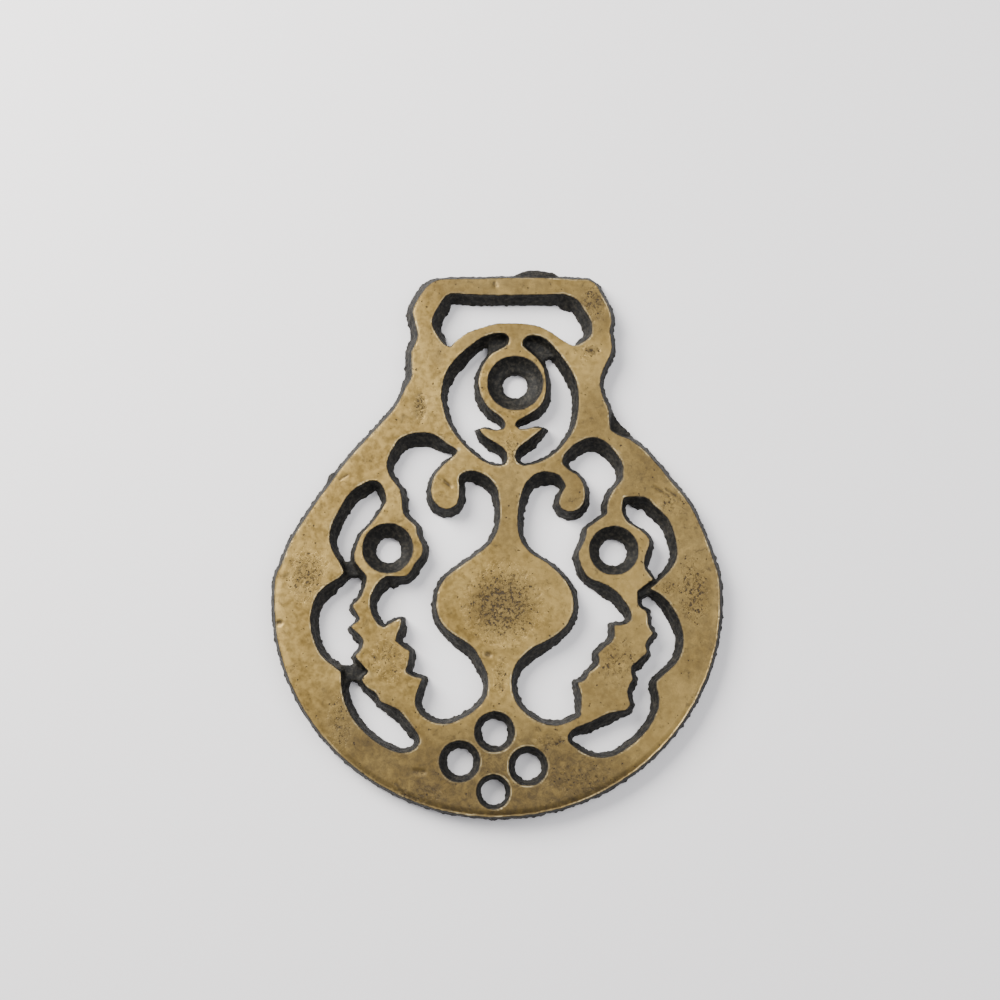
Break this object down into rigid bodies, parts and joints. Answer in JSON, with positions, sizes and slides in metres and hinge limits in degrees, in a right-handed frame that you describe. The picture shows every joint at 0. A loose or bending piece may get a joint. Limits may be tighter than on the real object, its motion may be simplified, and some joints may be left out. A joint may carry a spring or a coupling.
{
  "type": "horse brass",
  "caption": "Flat openwork cast brass harness pendant with a round lyre-pattern body, leaf-edged crescents and a slotted strap hanger on top.",
  "frame": {"origin": "on the back plane, under the middle of the plate's footprint", "axes": "+Y from the foot of the plate to the strap hanger, +Z out of the worn face, the flat back on Z = 0"},
  "size_m": [0.0712, 0.0878, 0.003],
  "materials": {
    "brass": "satin worn face, dark patina on the walls and in the recesses"
  },
  "bodies": {
    "root": {"horse_brass": "brass"}
  },
  "joints": []
}
